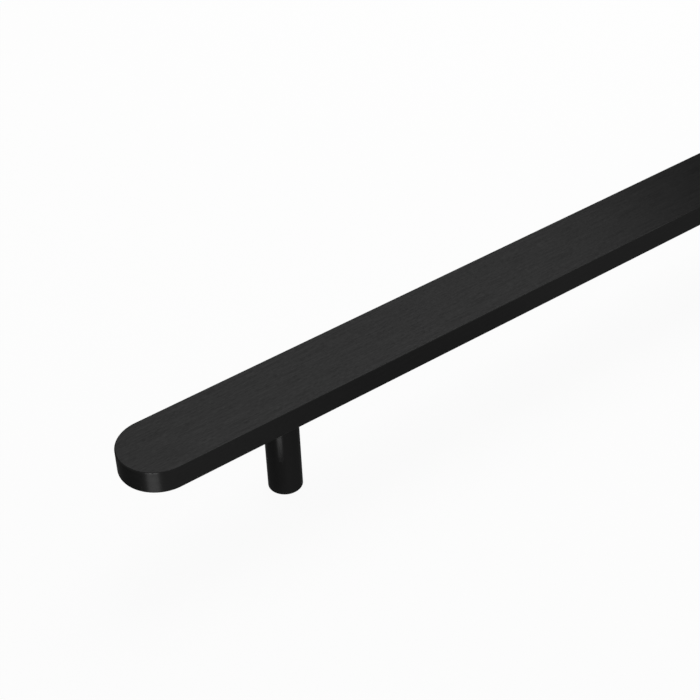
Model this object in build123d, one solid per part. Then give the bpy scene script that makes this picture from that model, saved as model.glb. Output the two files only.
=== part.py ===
"""Flat door pull handle: a round-ended grip bar standing off a door on two turned posts.

The handle stands on its post feet, as it would on the face of a door. The origin is
midway between the feet, on the door face. +X runs along the grip bar, +Z points away
from the door. Lengths are in millimetres.
"""

import os
from math import radians, tan

from build123d import *

# Grip bar, sawn from flat stock and milled to a full round at each end
BAR_LENGTH = 600.0
BAR_WIDTH = 38.0
BAR_THICKNESS = 12.0
BAR_EDGE_RADIUS = 0.5

# Posts, turned from round stock
POST_DIAMETER = 17.0
POST_HEIGHT = 50.0
POST_INSET = 85.0  # from the bar's tip to the post's axis
POST_RIM_CHAMFER = 0.4

# Thread in each post's foot, for a bolt that comes through the door
DOOR_THREAD = 8.0
DOOR_THREAD_PITCH = 1.25
DOOR_THREAD_DEPTH = 16.0

# Headless socket screw that joins each post to the bar
STUD_THREAD = 6.0
STUD_THREAD_PITCH = 1.0
STUD_LENGTH = 16.0
STUD_CHAMFER = 0.6
STUD_SOCKET_FLATS = 3.0
STUD_SOCKET_DEPTH = 3.5

# Blind holes
DRILL_POINT_ANGLE = 118.0
MOUTH_OVERSIZE = 0.4  # countersunk mouth beyond the thread's outer diameter
BAR_SKIN = 2.0  # metal left between a drill point and the bar's front face
STUD_END_ROOM = 0.5  # from the stud's end to the end of the bar's full bore
THREAD_RUNOUT = 2.0  # bore left below the stud in the post
THREAD_CLEARANCE = 0.03  # radial, between the stud's core and its bores

# Worked out from the above
POST_REACH = BAR_LENGTH / 2 - POST_INSET
POST_PLACES = {"post_left": -POST_REACH, "post_right": POST_REACH}
DOOR_BORE = DOOR_THREAD - DOOR_THREAD_PITCH
STUD_BORE = STUD_THREAD - STUD_THREAD_PITCH


def drill_point(bore):
    """Height of the cone that a drill of this diameter leaves at the end of a blind hole."""
    return bore / 2 / tan(radians(DRILL_POINT_ANGLE / 2))


BAR_BORE_DEPTH = BAR_THICKNESS - BAR_SKIN - drill_point(STUD_BORE)
STUD_IN_BAR = BAR_BORE_DEPTH - STUD_END_ROOM
STUD_IN_POST = STUD_LENGTH - STUD_IN_BAR
STUD_FOOT = POST_HEIGHT - STUD_IN_POST


def blind_hole(thread, bore, depth):
    """Cutter for a tapped blind hole that opens at z = 0 and runs up +Z: countersunk mouth, bore, drill point."""
    mouth_radius = (thread + MOUTH_OVERSIZE) / 2
    bore_radius = bore / 2
    half_section = make_face(
        Polyline(
            (0, 0, 0),
            (mouth_radius, 0, 0),
            (bore_radius, 0, mouth_radius - bore_radius),
            (bore_radius, 0, depth),
            (0, 0, depth + drill_point(bore)),
            close=True,
        )
    )
    return revolve(half_section, Axis.Z)


def make_pull_bar():
    """Flat bar with full-round ends and broken edges, tapped twice from the back for the studs."""
    bar = Pos(0, 0, POST_HEIGHT) * extrude(SlotOverall(BAR_LENGTH, BAR_WIDTH), BAR_THICKNESS)
    faces = bar.faces().sort_by(Axis.Z)
    bar = fillet(faces[0].edges() + faces[-1].edges(), BAR_EDGE_RADIUS)
    stud_hole = blind_hole(STUD_THREAD, STUD_BORE, BAR_BORE_DEPTH)
    return bar - [Pos(x, 0, POST_HEIGHT) * stud_hole for x in POST_PLACES.values()]


def make_post(x):
    """Turned post with both rims chamfered, tapped in its foot for the door and in its head for the stud."""
    post = Cylinder(POST_DIAMETER / 2, POST_HEIGHT, align=(Align.CENTER, Align.CENTER, Align.MIN))
    post = chamfer(post.edges().filter_by(GeomType.CIRCLE), POST_RIM_CHAMFER)
    door_hole = blind_hole(DOOR_THREAD, DOOR_BORE, DOOR_THREAD_DEPTH)
    stud_hole = blind_hole(STUD_THREAD, STUD_BORE, STUD_IN_POST + THREAD_RUNOUT)
    post -= [door_hole, Pos(0, 0, POST_HEIGHT) * Rot(180, 0, 0) * stud_hole]
    return Pos(x, 0, 0) * post


def make_joining_stud(x):
    """Headless screw at its thread's core diameter, chamfered, with the hexagon socket at its post end."""
    core_radius = STUD_BORE / 2 - THREAD_CLEARANCE
    stud = Cylinder(core_radius, STUD_LENGTH, align=(Align.CENTER, Align.CENTER, Align.MIN))
    stud = chamfer(stud.edges().filter_by(GeomType.CIRCLE), STUD_CHAMFER)
    socket = RegularPolygon(STUD_SOCKET_FLATS / 2, 6, major_radius=False)
    stud -= extrude(socket, STUD_SOCKET_DEPTH)
    return Pos(x, 0, STUD_FOOT) * stud


def make_pieces():
    """Every piece of the handle by its node name."""
    pieces = {"pull_bar": make_pull_bar()}
    for name, x in POST_PLACES.items():
        pieces[name] = make_post(x)
    pieces["joining_studs"] = Compound(children=[make_joining_stud(x) for x in POST_PLACES.values()])
    return pieces


os.makedirs("parts", exist_ok=True)
for name, piece in make_pieces().items():
    export_step(piece, f"parts/{name}.step")
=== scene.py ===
"""Black door pull handle, dressed for its picture: a brushed flat grip bar on two turned posts.

Every piece is modelled where the frame holds its solid, in metres: +X along the grip bar,
+Z away from the door, the post feet at Z = 0. What is turned is modelled about the left post's
axis and then copied across to the right one.
"""

from math import atan2, ceil, copysign, cos, hypot, pi, radians, sin, tan

import bmesh
import bpy
from bpy.props import FloatProperty, FloatVectorProperty, PointerProperty
from mathutils import Matrix, Vector


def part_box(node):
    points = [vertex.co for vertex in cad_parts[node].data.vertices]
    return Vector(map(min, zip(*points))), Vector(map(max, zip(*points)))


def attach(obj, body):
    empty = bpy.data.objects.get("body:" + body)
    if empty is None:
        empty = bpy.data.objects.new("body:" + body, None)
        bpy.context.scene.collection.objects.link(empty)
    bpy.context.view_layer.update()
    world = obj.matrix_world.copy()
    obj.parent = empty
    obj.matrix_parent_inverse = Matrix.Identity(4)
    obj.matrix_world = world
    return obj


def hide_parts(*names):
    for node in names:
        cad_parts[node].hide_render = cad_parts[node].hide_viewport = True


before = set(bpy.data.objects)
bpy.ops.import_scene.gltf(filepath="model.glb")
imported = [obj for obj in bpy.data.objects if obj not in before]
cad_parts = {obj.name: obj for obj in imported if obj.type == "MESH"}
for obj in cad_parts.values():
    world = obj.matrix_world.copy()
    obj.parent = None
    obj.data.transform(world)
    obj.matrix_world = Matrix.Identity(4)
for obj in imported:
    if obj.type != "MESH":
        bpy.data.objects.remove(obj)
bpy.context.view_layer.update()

bl_info = {
    "name": "Flat Door Pull",
    "version": (1, 0, 0),
    "blender": (4, 5, 0),
    "location": "3D View > Sidebar > Door Pull",
    "description": "Models a black flat-bar door pull on its frame and sets a plain studio stage for it",
    "category": "Object",
}

MM = 0.001

# How finely the pieces are modelled
WELD = 0.0005 * MM  # vertices closer than this are one
FLAT = 1e-4  # how far a face's unit normal may lean and still be level or upright
SMOOTH_ANGLE = radians(30)
BORDER = 0.1 * MM  # strip inside an edge that keeps the shading of a flat face true up to it
END_STEPS = 48  # in each quarter of a round end
EDGE_STEPS = 5  # across each small round
POST_STEPS = 128
BORE_STEPS = 48

# Drilled and threaded holes
DRILL_HALF_ANGLE = radians(59)
THREAD_FLANK = radians(30)  # metric thread: each flank leans this far from square to the axis
TAP_DEPTH = 0.65  # of the pitch, so that the tap's core stays clear of the bore's wall
OVERRUN = 0.6  # of a pitch, or of the room past a thread: no whole turns, so that its end is cut clean


def solid_box(node):
    """Corners of a piece's solid, to 0.5 mm, because the frame's facets fall just short of round faces."""
    grain = 0.5 * MM
    return [Vector([round(length / grain) * grain for length in corner]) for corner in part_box(node)]


# Where the frame holds each piece
BAR_LOW, BAR_HIGH = solid_box("pull_bar")
POST_LOW, POST_HIGH = solid_box("post_left")
STUD_LOW, STUD_HIGH = solid_box("joining_studs")
POST_X = (POST_LOW.x + POST_HIGH.x) / 2
POST_CENTRES = solid_box("post_right")[0].x - POST_LOW.x  # from the left post to the right one


def linear(hex_colour):
    """An sRGB hex colour as linear RGBA."""
    channels = [int(hex_colour[i : i + 2], 16) / 255 for i in (0, 2, 4)]
    return [c / 12.92 if c <= 0.04045 else ((c + 0.055) / 1.055) ** 2.4 for c in channels] + [1.0]


# Sizes and colours that a user would change


class BarSettings(bpy.types.PropertyGroup):
    """Grip bar: its size, its broken edges and its finish"""

    length: FloatProperty(
        name="Length",
        description="Tip to tip",
        default=BAR_HIGH.x - BAR_LOW.x,
        subtype="DISTANCE",
        unit="LENGTH",
    )
    width: FloatProperty(
        name="Width",
        description="Across the flat, which is also the diameter of each round end",
        default=BAR_HIGH.y - BAR_LOW.y,
        subtype="DISTANCE",
        unit="LENGTH",
    )
    thickness: FloatProperty(
        name="Thickness",
        description="Front face to back face",
        default=BAR_HIGH.z - BAR_LOW.z,
        subtype="DISTANCE",
        unit="LENGTH",
    )
    edge_radius: FloatProperty(
        name="Edge Radius",
        description="Round on the long edges, front and back",
        default=0.5 * MM,
        subtype="DISTANCE",
        unit="LENGTH",
    )
    colour: FloatVectorProperty(
        name="Colour",
        description="Black of the dyed oxide",
        default=linear("222222"),
        size=4,
        subtype="COLOR",
    )


class PostSettings(bpy.types.PropertyGroup):
    """Posts: their size, the tapped hole in each foot and their finish"""

    diameter: FloatProperty(
        name="Diameter",
        description="Across the post",
        default=POST_HIGH.x - POST_LOW.x,
        subtype="DISTANCE",
        unit="LENGTH",
    )
    height: FloatProperty(
        name="Height",
        description="Foot to head",
        default=POST_HIGH.z - POST_LOW.z,
        subtype="DISTANCE",
        unit="LENGTH",
    )
    chamfer: FloatProperty(
        name="Chamfer",
        description="Bevel on both rims",
        default=0.4 * MM,
        subtype="DISTANCE",
        unit="LENGTH",
    )
    thread: FloatProperty(
        name="Door Thread",
        description="Outer diameter of the thread in the foot",
        default=8.0 * MM,
        subtype="DISTANCE",
        unit="LENGTH",
    )
    pitch: FloatProperty(
        name="Door Thread Pitch",
        description="Rise of the foot's thread in one turn",
        default=1.25 * MM,
        subtype="DISTANCE",
        unit="LENGTH",
    )
    depth: FloatProperty(
        name="Door Hole Depth",
        description="Full bore of the foot's hole, without its drill point",
        default=16.0 * MM,
        subtype="DISTANCE",
        unit="LENGTH",
    )
    colour: FloatVectorProperty(
        name="Colour",
        description="Black of the dyed oxide",
        default=linear("202020"),
        size=4,
        subtype="COLOR",
    )


class StudSettings(bpy.types.PropertyGroup):
    """Studs that join the posts to the bar, and the tapped holes that take them"""

    thread: FloatProperty(
        name="Thread",
        description="Outer diameter of the stud's thread",
        default=6.0 * MM,
        subtype="DISTANCE",
        unit="LENGTH",
    )
    pitch: FloatProperty(
        name="Pitch",
        description="Rise of the thread in one turn",
        default=1.0 * MM,
        subtype="DISTANCE",
        unit="LENGTH",
    )
    chamfer: FloatProperty(
        name="Chamfer",
        description="Bevel at both ends, measured along the stud",
        default=0.6 * MM,
        subtype="DISTANCE",
        unit="LENGTH",
    )
    socket_flats: FloatProperty(
        name="Socket",
        description="Hexagon socket, across flats",
        default=3.0 * MM,
        subtype="DISTANCE",
        unit="LENGTH",
    )
    socket_depth: FloatProperty(
        name="Socket Depth",
        description="Depth of the hexagon socket",
        default=3.5 * MM,
        subtype="DISTANCE",
        unit="LENGTH",
    )
    clearance: FloatProperty(
        name="Clearance",
        description="Radial room between the stud's thread and its hole's",
        default=0.03 * MM,
        subtype="DISTANCE",
        unit="LENGTH",
    )
    end_room: FloatProperty(
        name="End Room",
        description="Bore left past the stud's end in the bar",
        default=0.5 * MM,
        subtype="DISTANCE",
        unit="LENGTH",
    )
    runout: FloatProperty(
        name="Runout",
        description="Bore left past the stud's end in the post",
        default=2.0 * MM,
        subtype="DISTANCE",
        unit="LENGTH",
    )
    mouth: FloatProperty(
        name="Hole Mouth",
        description="How much wider than its thread each hole's countersunk mouth is",
        default=0.4 * MM,
        subtype="DISTANCE",
        unit="LENGTH",
    )
    colour: FloatVectorProperty(
        name="Colour",
        description="Blue-black of oiled black oxide on steel",
        default=linear("3a3a3d"),
        size=4,
        subtype="COLOR",
    )


class StageSettings(bpy.types.PropertyGroup):
    """Camera and floor"""

    aim: FloatVectorProperty(
        name="Aim",
        description="Point that the camera looks at",
        default=(-181.6 * MM, -11.6 * MM, 73.3 * MM),
        subtype="XYZ",
        unit="LENGTH",
    )
    azimuth: FloatProperty(
        name="Azimuth",
        description="Camera's turn round the handle, from square in front of its long side",
        default=radians(-34.95),
        subtype="ANGLE",
    )
    elevation: FloatProperty(
        name="Elevation",
        description="Camera's height above the floor, as an angle",
        default=radians(38.58),
        subtype="ANGLE",
    )
    roll: FloatProperty(
        name="Roll",
        description="Camera's tilt about its own line of sight",
        default=radians(-2.44),
        subtype="ANGLE",
    )
    distance: FloatProperty(
        name="Distance",
        description="From the camera to the point it looks at",
        default=798.0 * MM,
        subtype="DISTANCE",
        unit="LENGTH",
    )
    lens: FloatProperty(
        name="Lens",
        description="Focal length, in millimetres",
        default=88.42,
        subtype="DISTANCE_CAMERA",
    )
    sensor: FloatProperty(
        name="Sensor",
        description="Width of the sensor behind the lens, in millimetres",
        default=36,
        subtype="DISTANCE_CAMERA",
    )
    floor_colour: FloatVectorProperty(
        name="Floor",
        description="Pale paper that the handle stands on",
        default=linear("ededec"),
        size=4,
        subtype="COLOR",
    )


# Modelling by hand, in code


def take(piece):
    """Makes a piece the active one, and the only one selected."""
    bpy.ops.object.select_all(action="DESELECT")
    bpy.context.view_layer.objects.active = piece
    piece.select_set(True)


def add_piece(name, add_primitive, **options):
    """A new primitive at its place and size, alone in the selection, with its transform applied."""
    bpy.ops.object.select_all(action="DESELECT")
    add_primitive(calc_uvs=False, **options)
    piece = bpy.context.active_object
    piece.name = name
    piece.data.name = name
    bpy.ops.object.transform_apply(location=True, rotation=True, scale=True)
    return piece


def pick(piece, kind, test):
    """In edit mode, selects just the verts, edges or faces that pass a test."""
    bpy.ops.mesh.select_mode(type={"verts": "VERT", "edges": "EDGE", "faces": "FACE"}[kind])
    bpy.ops.mesh.select_all(action="DESELECT")
    mesh = bmesh.from_edit_mesh(piece.data)
    for element in getattr(mesh, kind):
        if test(element):
            element.select_set(True)
    mesh.select_flush_mode()
    bmesh.update_edit_mesh(piece.data)


def close_up():
    """In edit mode, welds what coincides and turns every face outwards."""
    bpy.ops.mesh.select_all(action="SELECT")
    bpy.ops.mesh.remove_doubles(threshold=WELD)
    bpy.ops.mesh.normals_make_consistent(inside=False)


def draw_line(name, points):
    """A new mesh in edit mode: one open line through the points, drawn by extruding a single vertex."""
    piece = add_piece(name, bpy.ops.mesh.primitive_plane_add, size=MM, location=points[0])
    bpy.ops.object.mode_set(mode="EDIT")
    bpy.ops.mesh.select_mode(type="VERT")
    bpy.ops.mesh.select_all(action="SELECT")
    bpy.ops.mesh.merge(type="CENTER")
    for here, there in zip(points, points[1:]):
        step = Vector(there) - Vector(here)
        bpy.ops.mesh.extrude_region_move(TRANSFORM_OT_translate={"value": step})
    return piece


def turn(name, section, steps):
    """A body turned about the left post's axis from its half section of (radius, height) points."""
    piece = draw_line(name, [(POST_X + radius, 0, height) for radius, height in section])
    bpy.ops.mesh.select_all(action="SELECT")
    bpy.ops.mesh.spin(steps=steps, angle=2 * pi, center=(POST_X, 0, 0), axis=(0, 0, 1))
    close_up()
    bpy.ops.object.mode_set(mode="OBJECT")
    return piece


def wind_thread(name, core, crest, pitch, start, low, high):
    """A threaded rod about the left post's axis, cut square at low and high. A turn begins at start."""
    crest_flat = pitch / 8  # as on any metric thread
    flank = (crest - core) * tan(THREAD_FLANK)
    core_flat = pitch - crest_flat - 2 * flank
    turns_below = 1 + ceil((start - low) / pitch)
    first = start - turns_below * pitch
    ridge = [
        (core, 0, 0),
        (core, 0, core_flat),
        (crest, 0, core_flat + flank),
        (crest, 0, core_flat + flank + crest_flat),
        (core, 0, pitch),
    ]
    piece = draw_line(name, ridge)
    bpy.ops.object.mode_set(mode="OBJECT")
    bpy.ops.object.modifier_add(type="SCREW")
    winding = piece.modifiers[-1]
    winding.axis = "Z"
    winding.angle = 2 * pi
    winding.screw_offset = pitch
    winding.iterations = 1 + ceil((high - first) / pitch)
    winding.steps = winding.render_steps = BORE_STEPS
    bpy.ops.object.modifier_apply(modifier=winding.name)
    # Half a step round keeps its edges off those of the bores
    piece.rotation_euler.z = pi / BORE_STEPS
    piece.location = (POST_X, 0, first)
    bpy.ops.object.transform_apply(location=True, rotation=True)
    bpy.ops.object.mode_set(mode="EDIT")
    close_up()
    for height, clear in ((low, {"clear_inner": True}), (high, {"clear_outer": True})):
        bpy.ops.mesh.select_all(action="SELECT")
        bpy.ops.mesh.bisect(
            plane_co=(POST_X, 0, height), plane_no=(0, 0, 1), use_fill=True, threshold=WELD, **clear
        )
    close_up()
    bpy.ops.object.mode_set(mode="OBJECT")
    return piece


def wind_tap(thread, pitch, clearance, start, low, high):
    """The tap that cuts a hole's thread, which is wider than the screw's by the clearance all round."""
    core = thread / 2 - pitch * TAP_DEPTH
    crest = thread / 2 + clearance
    return wind_thread("tap", core=core, crest=crest, pitch=pitch, start=start, low=low, high=high)


def hole_section(thread, pitch, mouth, depth):
    """Half section of a blind hole for a thread, from its countersunk mouth at height 0 to its point."""
    bore = (thread - pitch) / 2
    rim = (thread + mouth) / 2
    return [(rim, 0), (bore, rim - bore), (bore, depth), (0, depth + bore / tan(DRILL_HALF_ANGLE))]


def cut(piece, tool, operation="DIFFERENCE"):
    """Cuts the tool out of the piece, or keeps what they share, welds it and leaves the tool as it was."""
    take(piece)
    bpy.ops.object.modifier_add(type="BOOLEAN")
    cutting = piece.modifiers[-1]
    cutting.operation = operation
    cutting.solver = "EXACT"
    cutting.object = tool
    bpy.ops.object.modifier_apply(modifier=cutting.name)
    bpy.ops.object.mode_set(mode="EDIT")
    close_up()
    bpy.ops.object.mode_set(mode="OBJECT")


def shift_across(piece):
    """Moves a piece from the left post to the right one and puts its new place in its mesh."""
    take(piece)
    piece.location.x = POST_CENTRES
    bpy.ops.object.transform_apply(location=True)


def copy_across(piece, name):
    """A copy of a left-hand piece, with its own mesh, at the right-hand post."""
    take(piece)
    bpy.ops.object.duplicate(linked=False)
    copy = bpy.context.active_object
    copy.name = name
    copy.data.name = name
    shift_across(copy)
    return copy


def finish_mesh(piece):
    """Makes sure that a piece is closed and shades it smooth across small angles only."""
    take(piece)
    bpy.ops.object.mode_set(mode="EDIT")
    bpy.ops.mesh.select_mode(type="EDGE")
    bpy.ops.mesh.select_all(action="DESELECT")
    bpy.ops.mesh.select_non_manifold()
    faults = piece.data.total_edge_sel
    bpy.ops.object.mode_set(mode="OBJECT")
    if faults:
        raise RuntimeError(f"{piece.name} isn't closed: {faults} edges")
    bpy.ops.object.shade_smooth_by_angle(angle=SMOOTH_ANGLE)


def dress(piece, material, slot_name, *nodes):
    """Gives a finished piece its finish and its place in the frame."""
    piece.data.materials.clear()
    piece.data.materials.append(material)
    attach(piece, "root")
    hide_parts(*nodes)


def bar_zone(face):
    """The part of the bar's skin that a face belongs to."""
    lean = abs(face.normal.z)
    if lean > 1 - FLAT:
        return "face"
    return "rim" if lean < FLAT else "edge"


def rise(edge):
    """How far an edge climbs."""
    return abs(edge.verts[0].co.z - edge.verts[1].co.z)


def round_blank(bar, size):
    """Rounds the ends of the bar's blank and breaks its edges."""
    bpy.ops.object.mode_set(mode="EDIT")
    # The upright corners are rounded until each end is a half circle
    pick(bar, "edges", lambda edge: rise(edge) > size.thickness / 2)
    bpy.ops.mesh.bevel(offset=size.width / 2, segments=END_STEPS, profile=0.5, affect="EDGES")
    close_up()
    # Front and back edges are broken with a small round
    pick(bar, "edges", lambda edge: rise(edge) < WELD)
    bpy.ops.mesh.bevel(offset=size.edge_radius, segments=EDGE_STEPS, profile=0.5, affect="EDGES")
    # A narrow border keeps the shading of each flat face and of the rim true up to the rounds
    for zone in ("face", "rim"):
        pick(bar, "faces", lambda face: bar_zone(face) == zone)
        bpy.ops.mesh.inset(thickness=BORDER)
    close_up()
    bpy.ops.object.mode_set(mode="OBJECT")


def tap_back(bar, stud_size):
    """Drills and taps the bar's back for the two studs."""
    depth = STUD_HIGH.z + stud_size.end_room - BAR_LOW.z
    hole = hole_section(stud_size.thread, stud_size.pitch, stud_size.mouth, depth)
    rim = hole[0][0]
    # The drill stands out of the mouth a little, so that it cuts clean
    section = [(0, -MM), (rim + MM, -MM), *hole[1:]]
    drill = turn("drill", [(out, BAR_LOW.z + up) for out, up in section], BORE_STEPS)
    tap = wind_tap(
        stud_size.thread,
        stud_size.pitch,
        stud_size.clearance,
        start=STUD_LOW.z,
        low=BAR_LOW.z - OVERRUN * stud_size.pitch,
        high=STUD_HIGH.z + OVERRUN * stud_size.end_room,
    )
    for tool in (drill, tap):
        cut(bar, tool)
        shift_across(tool)
        cut(bar, tool)
        bpy.data.objects.remove(tool)


# Maps that the finishes follow


def map_brushing(bar, size):
    """Lays the bar's skin out in strips, with u along the scratches, on two maps.

    On "brushing" u and v are in metres: along the bar on its faces, round it on its rim and edges.
    On "OFBake" the same strips are stacked in a square, so that pictures can be baked on them.
    """
    share = {"face": 1.0, "rim": 0.35, "edge": 0.0}  # of the brushing; the broken edges are smooth
    gap = MM  # between strips
    face_strip = size.width + gap
    rim_strip = size.thickness + gap
    end_radius = size.width / 2
    straight = size.length / 2 - end_radius
    half_length = straight + end_radius * pi / 2
    stack_height = 2 * face_strip + 2 * rim_strip
    mesh = bar.data
    skin = mesh.uv_layers.new(name="brushing")
    stack = mesh.uv_layers.new(name="OFBake")
    brushed = mesh.attributes.new("brushed", "FLOAT", "FACE")
    for face in mesh.polygons:
        zone = bar_zone(face)
        brushed.data[face.index].value = share[zone]
        if zone == "face":
            lift = face_strip * (face.normal.z < 0) + end_radius
        else:
            lift = 2 * face_strip + rim_strip * (face.center.y > 0) - BAR_LOW.z
        for corner in face.loop_indices:
            x, y, z = mesh.vertices[mesh.loops[corner].vertex_index].co
            u, v = x, y
            if zone != "face":
                past = max(abs(x) - straight, 0)
                round_end = end_radius * atan2(past, abs(y))
                u, v = copysign(min(abs(x), straight) + round_end, x), z
            skin.data[corner].uv = (u, v)
            stack.data[corner].uv = ((u / half_length + 1) / 2, (v + lift) / stack_height)


def map_turning(post, radius):
    """UV in metres: u round the left post, v along it, and outwards on its end faces."""
    mesh = post.data
    layer = mesh.uv_layers.new(name="turning")
    for face in mesh.polygons:
        across = face.center.x - POST_X
        behind = across < 0 and abs(face.center.y) < -across
        for corner in face.loop_indices:
            place = mesh.vertices[mesh.loops[corner].vertex_index].co
            angle = atan2(place.y, place.x - POST_X)
            if behind and angle < 0:
                angle += 2 * pi
            out = hypot(place.x - POST_X, place.y)
            layer.data[corner].uv = (angle * radius, place.z - out)


# Finishes

NOISE_SPAN = {"From Min": 0.3, "From Max": 0.7}  # what a noise seldom leaves
DYED_TINT = linear("bcbcbc")  # the dye keeps even a grazing reflection below that of bare metal
ACROSS = 0.25  # of a turn, from along the scratches to across them


def add_node(tree, kind, inputs=(), **options):
    """A new node with its options set and its inputs filled, by value or by link."""
    node = tree.nodes.new(kind)
    for name, value in options.items():
        setattr(node, name, value)
    for name, value in dict(inputs).items():
        if isinstance(value, bpy.types.NodeSocket):
            tree.links.new(value, node.inputs[name])
        else:
            node.inputs[name].default_value = value
    return node


def new_material(name):
    """An empty node material and its output's surface socket."""
    material = bpy.data.materials.new(name)
    material.use_nodes = True
    material.node_tree.nodes.clear()
    output = add_node(material.node_tree, "ShaderNodeOutputMaterial")
    return material, output.inputs["Surface"]


def brushed_black_aluminium(colour):
    """Aluminium flat bar, brushed along its length and dyed black in the anodising bath."""
    # The brushing leaves short fine scratches that lie along the bar, so light spreads across them
    # and stays tight along them. Deeper scratches take more dye, and the bath's etch leaves a fine grain.
    scratch_length = 18 * MM
    scratch_width = 0.7 * MM  # real ones are near 0.05 mm; drawn coarse enough to show
    scratch_depth = 0.014 * MM  # in step with the width
    scratch_change = 0.18  # how far the black varies, either way
    grain_length = 2.4 * MM  # the etch's real grain is near 0.02 mm; drawn coarse enough to show
    grain_width = 0.3 * MM
    grain_change = 0.13
    material, surface = new_material("brushed_black_anodised_aluminium")
    tree = material.node_tree
    place = add_node(tree, "ShaderNodeUVMap", uv_map="brushing").outputs["UV"]
    brushed = add_node(tree, "ShaderNodeAttribute", attribute_name="brushed").outputs["Fac"]
    marks = []
    for length, width, detail in ((scratch_length, scratch_width, 3), (grain_length, grain_width, 0)):
        spread = add_node(
            tree, "ShaderNodeMapping", {"Vector": place, "Scale": (1 / length, 1 / width, 1)}
        )
        noise = add_node(
            tree,
            "ShaderNodeTexNoise",
            {"Vector": spread.outputs["Vector"], "Scale": 1, "Detail": detail, "Roughness": 0.6},
            noise_dimensions="2D",
        )
        marks.append({"Value": noise.outputs["Fac"], **NOISE_SPAN})
    scratches, grain = marks
    changes = []
    for mark, most in ((scratches, scratch_change), (grain, grain_change)):
        change = add_node(tree, "ShaderNodeMapRange", {**mark, "To Min": -most, "To Max": most})
        changes.append(change.outputs["Result"])
    both = add_node(tree, "ShaderNodeMath", {0: changes[0], 1: changes[1]}, operation="ADD")
    tone = add_node(
        tree, "ShaderNodeMath", {0: both.outputs[0], 1: brushed, 2: 1.0}, operation="MULTIPLY_ADD"
    )
    black = add_node(
        tree, "ShaderNodeVectorMath", {0: colour[:3], "Scale": tone.outputs[0]}, operation="SCALE"
    )
    roughness = add_node(tree, "ShaderNodeMapRange", {**scratches, "To Min": 0.33, "To Max": 0.36})
    relief = add_node(
        tree,
        "ShaderNodeBump",
        {"Height": scratches["Value"], "Strength": brushed, "Distance": scratch_depth},
    )
    along = add_node(tree, "ShaderNodeTangent", direction_type="UV_MAP", uv_map="brushing")
    shader = add_node(
        tree,
        "ShaderNodeBsdfPrincipled",
        {
            "Base Color": black.outputs["Vector"],
            "Metallic": 1.0,
            "Roughness": roughness.outputs["Result"],
            "Specular Tint": DYED_TINT,
            "Anisotropic": 0.95,
            "Anisotropic Rotation": ACROSS,
            "Tangent": along.outputs["Tangent"],
            "Normal": relief.outputs["Normal"],
        },
    )
    tree.links.new(shader.outputs["BSDF"], surface)
    return material


def turned_black_aluminium(colour):
    """Aluminium round bar, turned smooth and dyed black in the anodising bath."""
    # The tool leaves fine rings round the post, so light spreads along the post and stays tight
    # round it: on the satin black a lamp shows as one upright streak.
    ring_spacing = 0.3 * MM  # the tool's real feed is near 0.1 mm; drawn coarse enough to show
    ring_length = 12 * MM  # how far round a ring keeps its tone
    material, surface = new_material("turned_black_anodised_aluminium")
    tree = material.node_tree
    place = add_node(tree, "ShaderNodeUVMap", uv_map="turning").outputs["UV"]
    spread = add_node(
        tree, "ShaderNodeMapping", {"Vector": place, "Scale": (1 / ring_length, 1 / ring_spacing, 1)}
    )
    rings = add_node(
        tree,
        "ShaderNodeTexNoise",
        {"Vector": spread.outputs["Vector"], "Scale": 1, "Detail": 1, "Roughness": 0.5},
        noise_dimensions="2D",
    )
    roughness = add_node(
        tree,
        "ShaderNodeMapRange",
        {"Value": rings.outputs["Fac"], **NOISE_SPAN, "To Min": 0.36, "To Max": 0.39},
    )
    around = add_node(tree, "ShaderNodeTangent", direction_type="UV_MAP", uv_map="turning")
    shader = add_node(
        tree,
        "ShaderNodeBsdfPrincipled",
        {
            "Base Color": colour,
            "Metallic": 1.0,
            "Roughness": roughness.outputs["Result"],
            "Specular Tint": DYED_TINT,
            "Anisotropic": 1.0,
            "Anisotropic Rotation": ACROSS,
            "Tangent": around.outputs["Tangent"],
        },
    )
    tree.links.new(shader.outputs["BSDF"], surface)
    return material


def black_oxide_steel(colour):
    """Steel with a rolled thread, blackened in a hot oxide bath and oiled."""
    # The oxide is a thin blue-black skin with half the shine of bare steel, and the oil leaves it
    # a little patchy.
    blotch = 1.5 * MM
    material, surface = new_material("black_oxide_steel")
    tree = material.node_tree
    place = add_node(tree, "ShaderNodeTexCoord").outputs["Object"]
    cloud = add_node(
        tree,
        "ShaderNodeTexNoise",
        {"Vector": place, "Scale": 1 / blotch, "Detail": 3, "Roughness": 0.6},
    )
    roughness = add_node(
        tree,
        "ShaderNodeMapRange",
        {"Value": cloud.outputs["Fac"], **NOISE_SPAN, "To Min": 0.35, "To Max": 0.5},
    )
    shader = add_node(
        tree,
        "ShaderNodeBsdfPrincipled",
        {"Base Color": colour, "Metallic": 1.0, "Roughness": roughness.outputs["Result"]},
    )
    tree.links.new(shader.outputs["BSDF"], surface)
    return material


# Stage

STRIP_TURN = radians(-138.5)  # where the strip light stands, seen from the left post, from +X


def before_post(distance, height):
    """A place in front of the left post, in line with the strip light."""
    return (POST_X + distance * cos(STRIP_TURN), distance * sin(STRIP_TURN), height)


def by_ray(tree, camera, gloss, other):
    """A number that differs for what the camera sees, for what shows in gloss and for all other light."""
    path = add_node(tree, "ShaderNodeLightPath")
    number = other
    for ray, level in (("Is Camera Ray", camera), ("Is Glossy Ray", gloss)):
        step = {0: path.outputs[ray], 1: level - other, 2: number}
        number = add_node(tree, "ShaderNodeMath", step, operation="MULTIPLY_ADD").outputs[0]
    return number


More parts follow.
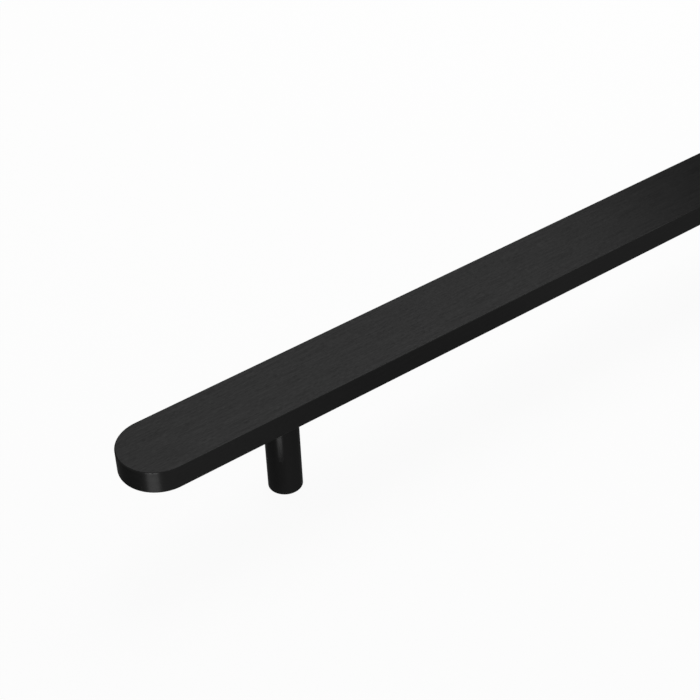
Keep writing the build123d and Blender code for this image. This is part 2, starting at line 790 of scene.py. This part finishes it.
def paper(name, colour, shown):
    """Paper that shows almost evenly in the tone given and keeps a faint shadow."""
    evenness = 0.94
    material, surface = new_material(name)
    tree = material.node_tree
    matt = add_node(tree, "ShaderNodeBsdfDiffuse", {"Color": colour})
    glow = add_node(tree, "ShaderNodeEmission", {"Color": shown, "Strength": 1.0})
    share = by_ray(tree, camera=evenness, gloss=evenness, other=0.0)
    both = add_node(
        tree, "ShaderNodeMixShader", {0: share, 1: matt.outputs["BSDF"], 2: glow.outputs["Emission"]}
    )
    tree.links.new(both.outputs[0], surface)
    return material


def lay_floor(white):
    """Sheet of pale paper that the handle stands on."""
    floor_size = 6.0
    sheet = add_piece("floor", bpy.ops.mesh.primitive_plane_add, size=floor_size, location=(0, 0, 0))
    sheet.data.materials.append(white)


def stand_flag(white):
    """A low card on edge that keeps the strip light off the post's foot. The camera doesn't see it."""
    width, height = 0.475, 0.0282
    distance = 0.19  # from the post's axis
    card = add_piece("flag", bpy.ops.mesh.primitive_plane_add, size=1)
    card.scale = (width, height, 1)
    card.rotation_euler = (radians(90), 0, STRIP_TURN + radians(90))
    card.location = before_post(distance, height / 2)
    bpy.ops.object.transform_apply(location=True, rotation=True, scale=True)
    card.data.materials.append(white)
    card.visible_camera = False


def lay_shade_card(name, grey, middle, size, turned=0):
    """A grey card on the floor that nothing but the metal's gloss sees, to darken what it reflects:
    painted shade on the floor.
    """
    lift = 0.2 * MM  # clear of the floor
    card = add_piece(name, bpy.ops.mesh.primitive_plane_add, size=1)
    card.scale = (*size, 1)
    card.rotation_euler.z = turned
    card.location = (*middle, lift)
    bpy.ops.object.transform_apply(location=True, rotation=True, scale=True)
    card.data.materials.append(grey)
    card.visible_camera = False
    card.visible_diffuse = False
    card.visible_shadow = False


def lay_shade_cards():
    """Grey cards of painted shade for the left of the round end, the left post's foot and the middle of
    the long side: they darken the floor that the metal reflects there.
    """
    # Their grey is painted shade: in the metal's gloss it stands in for shade on the floor
    grey = paper("grey_card", linear("b8b8b8"), linear("b8b8b8"))
    pale = paper("pale_grey_card", linear("d8d8d8"), linear("d8d8d8"))
    # Painted shade on the floor left of and behind the round end
    lay_shade_card("left_card", grey, middle=(BAR_LOW.x - 0.143, 0.085), size=(0.316, 0.23))
    # Painted shade on the floor just left of the left post's foot, under the bar
    lay_shade_card("foot_card", pale, middle=(POST_X - 0.025, 0.005), size=(0.030, 0.07))
    # Painted shade on the floor in front of the bar's long side
    lay_shade_card("front_card", pale, middle=(POST_X + 0.11, -0.105), size=(0.15, 0.15), turned=radians(45))


def hang_softbox(name, place, aim, width, height, radiance):
    """A rectangular softbox that faces a point, as bright all over as the radiance says."""
    bpy.ops.object.select_all(action="DESELECT")
    bpy.ops.object.light_add(type="AREA", location=place)
    lamp = bpy.context.active_object
    lamp.name = name
    lamp.rotation_euler = (Vector(aim) - Vector(place)).to_track_quat("-Z", "Y").to_euler()
    lamp.data.shape = "RECTANGLE"
    lamp.data.size = width
    lamp.data.size_y = height
    lamp.data.energy = radiance * pi * width * height
    lamp.visible_camera = False


def light_studio(scene):
    """White surroundings, a wide softbox overhead and a strip light low at the left front."""
    scene.world = bpy.data.worlds.new("studio")
    scene.world.use_nodes = True
    tree = scene.world.node_tree
    tree.nodes.clear()
    level = by_ray(tree, camera=1.0, gloss=0.8, other=0.4)
    white = add_node(tree, "ShaderNodeBackground", {"Color": linear("ffffff"), "Strength": level})
    output = add_node(tree, "ShaderNodeOutputWorld")
    tree.links.new(white.outputs["Background"], output.inputs["Surface"])
    overhead = (0.385, 0.43)
    hang_softbox(
        "top_softbox",
        place=(*overhead, 1.02),
        aim=(*overhead, 0),
        width=0.90,
        height=0.67,
        radiance=3.95,
    )
    strip_height = 0.061  # it stands on the floor
    hang_softbox(
        "front_strip",
        place=before_post(distance=0.95, height=strip_height / 2),
        aim=before_post(distance=0, height=strip_height / 2),
        width=0.45,
        height=strip_height,
        radiance=92,
    )


def place_camera(scene, stage):
    """Camera turned round its aim by azimuth, elevation and roll."""
    azimuth, elevation, roll = stage.azimuth, stage.elevation, stage.roll
    back = Vector((sin(azimuth) * cos(elevation), -cos(azimuth) * cos(elevation), sin(elevation)))
    level_right = Vector((cos(azimuth), sin(azimuth), 0))
    level_up = back.cross(level_right)
    right = level_right * cos(roll) + level_up * sin(roll)
    up = back.cross(right)
    bpy.ops.object.select_all(action="DESELECT")
    bpy.ops.object.camera_add()
    camera = bpy.context.active_object
    camera.name = "camera"
    turned = Matrix((right, up, back)).transposed().to_4x4()
    camera.matrix_world = Matrix.Translation(Vector(stage.aim) + back * stage.distance) @ turned
    camera.data.lens = stage.lens
    camera.data.sensor_width = stage.sensor
    scene.camera = camera


# Operators, one for each piece or group of like pieces and one for the stage


class ModelGripBar(bpy.types.Operator):
    """Model the grip bar: flat stock with round ends, broken edges and two tapped holes in its back"""

    bl_idname = "door_pull.model_grip_bar"
    bl_label = "Model Grip Bar"

    def execute(self, context):
        bar_size = context.scene.door_pull_bar
        size = Vector((bar_size.length, bar_size.width, bar_size.thickness))
        middle = (BAR_LOW + BAR_HIGH) / 2
        bar = add_piece(
            "brushed_grip_bar", bpy.ops.mesh.primitive_cube_add, size=1, location=middle, scale=size
        )
        round_blank(bar, bar_size)
        tap_back(bar, context.scene.door_pull_stud)
        finish_mesh(bar)
        map_brushing(bar, bar_size)
        dress(bar, brushed_black_aluminium(bar_size.colour), "brushed_bar", "pull_bar")
        return {"FINISHED"}


class ModelPosts(bpy.types.Operator):
    """Model the posts: turned bar, tapped in its foot for the door's bolt and in its head for the stud"""

    bl_idname = "door_pull.model_posts"
    bl_label = "Model Posts"

    def execute(self, context):
        post_size = context.scene.door_pull_post
        stud_size = context.scene.door_pull_stud
        radius = post_size.diameter / 2
        chamfer = post_size.chamfer
        foot, head = POST_LOW.z, POST_LOW.z + post_size.height
        # Drilled in its foot for the bolt that comes through the door, and in its head for the stud
        foot_hole = hole_section(post_size.thread, post_size.pitch, stud_size.mouth, post_size.depth)
        head_depth = head - STUD_LOW.z + stud_size.runout
        head_hole = hole_section(stud_size.thread, stud_size.pitch, stud_size.mouth, head_depth)
        body = [
            *[(out, foot + up) for out, up in reversed(foot_hole)],
            (radius - chamfer, foot),
            (radius, foot + chamfer),
            (radius, head - chamfer),
            (radius - chamfer, head),
            *[(out, head - up) for out, up in head_hole],
        ]
        post = turn("turned_post_left", body, POST_STEPS)
        foot_tap = wind_tap(
            post_size.thread,
            post_size.pitch,
            clearance=0,
            start=foot,
            low=foot - OVERRUN * post_size.pitch,
            high=foot + post_size.depth - post_size.pitch,
        )
        head_tap = wind_tap(
            stud_size.thread,
            stud_size.pitch,
            stud_size.clearance,
            start=STUD_LOW.z,
            low=STUD_LOW.z - OVERRUN * stud_size.runout,
            high=head + OVERRUN * stud_size.pitch,
        )
        for tool in (foot_tap, head_tap):
            cut(post, tool)
            bpy.data.objects.remove(tool)
        finish_mesh(post)
        map_turning(post, radius)
        right_post = copy_across(post, "turned_post_right")
        finish = turned_black_aluminium(post_size.colour)
        dress(post, finish, "turned_post", "post_left")
        dress(right_post, finish, "turned_post", "post_right")
        return {"FINISHED"}


class ModelStuds(bpy.types.Operator):
    """Model the studs: headless screws with a hexagon socket, one inside each joint of post and bar"""

    bl_idname = "door_pull.model_studs"
    bl_label = "Model Studs"

    def execute(self, context):
        size = context.scene.door_pull_stud
        crest = size.thread / 2 - size.clearance
        core = (size.thread - size.pitch) / 2 - size.clearance
        low, high = STUD_LOW.z, STUD_HIGH.z
        tip = core - size.chamfer
        stud = wind_thread(
            "joining_stud_left",
            core=core,
            crest=crest,
            pitch=size.pitch,
            start=low,
            low=low - OVERRUN * size.pitch,
            high=high + OVERRUN * size.pitch,
        )
        # Both ends are faced to length and chamfered down through the thread
        slope = crest - tip + MM
        blank = [
            (0, low),
            (tip, low),
            (tip + slope, low + slope),
            (tip + slope, high - slope),
            (tip, high),
            (0, high),
        ]
        envelope = turn("blank", blank, BORE_STEPS)
        cut(stud, envelope, "INTERSECT")
        bpy.data.objects.remove(envelope)
        # The key's socket is in the end that stands in the post
        socket = add_piece(
            "socket",
            bpy.ops.mesh.primitive_cylinder_add,
            vertices=6,
            radius=size.socket_flats / 2 / cos(radians(30)),
            depth=2 * size.socket_depth,
            location=(POST_X, 0, low),
        )
        cut(stud, socket)
        bpy.data.objects.remove(socket)
        finish_mesh(stud)
        right_stud = copy_across(stud, "joining_stud_right")
        finish = black_oxide_steel(size.colour)
        for piece in (stud, right_stud):
            dress(piece, finish, "stud_steel", "joining_studs")
        return {"FINISHED"}


class SetStage(bpy.types.Operator):
    """Set the stage: pale floor, soft studio light and the camera"""

    bl_idname = "door_pull.set_stage"
    bl_label = "Set Stage"

    def execute(self, context):
        stage = context.scene.door_pull_stage
        white = paper("white_paper", stage.floor_colour, shown=linear("ffffff"))
        lay_floor(white)
        light_studio(context.scene)
        stand_flag(white)
        lay_shade_cards()
        place_camera(context.scene, stage)
        context.scene.view_settings.view_transform = "Standard"
        return {"FINISHED"}


# Sidebar and registration

STEPS = {
    "door_pull_bar": (BarSettings, ModelGripBar),
    "door_pull_post": (PostSettings, ModelPosts),
    "door_pull_stud": (StudSettings, ModelStuds),
    "door_pull_stage": (StageSettings, SetStage),
}


class DoorPullPanel(bpy.types.Panel):
    """Sidebar panel with the settings and the operator of every step, in order"""

    bl_idname = "VIEW3D_PT_door_pull"
    bl_label = "Door Pull"
    bl_space_type = "VIEW_3D"
    bl_region_type = "UI"
    bl_category = "Door Pull"

    def draw(self, context):
        for name, (group, operator) in STEPS.items():
            box = self.layout.box()
            for setting in group.__annotations__:
                box.prop(getattr(context.scene, name), setting)
            box.operator(operator.bl_idname)


GROUPS, OPERATORS = zip(*STEPS.values())
CLASSES = (*GROUPS, *OPERATORS, DoorPullPanel)


def register():
    for new_class in CLASSES:
        bpy.utils.register_class(new_class)
    for name, (group, _) in STEPS.items():
        setattr(bpy.types.Scene, name, PointerProperty(type=group))


def unregister():
    for name in STEPS:
        delattr(bpy.types.Scene, name)
    for old_class in reversed(CLASSES):
        bpy.utils.unregister_class(old_class)


def main():
    register()
    bpy.ops.door_pull.model_grip_bar()
    bpy.ops.door_pull.model_posts()
    bpy.ops.door_pull.model_studs()
    bpy.ops.door_pull.set_stage()


if __name__ == "__main__":
    main()
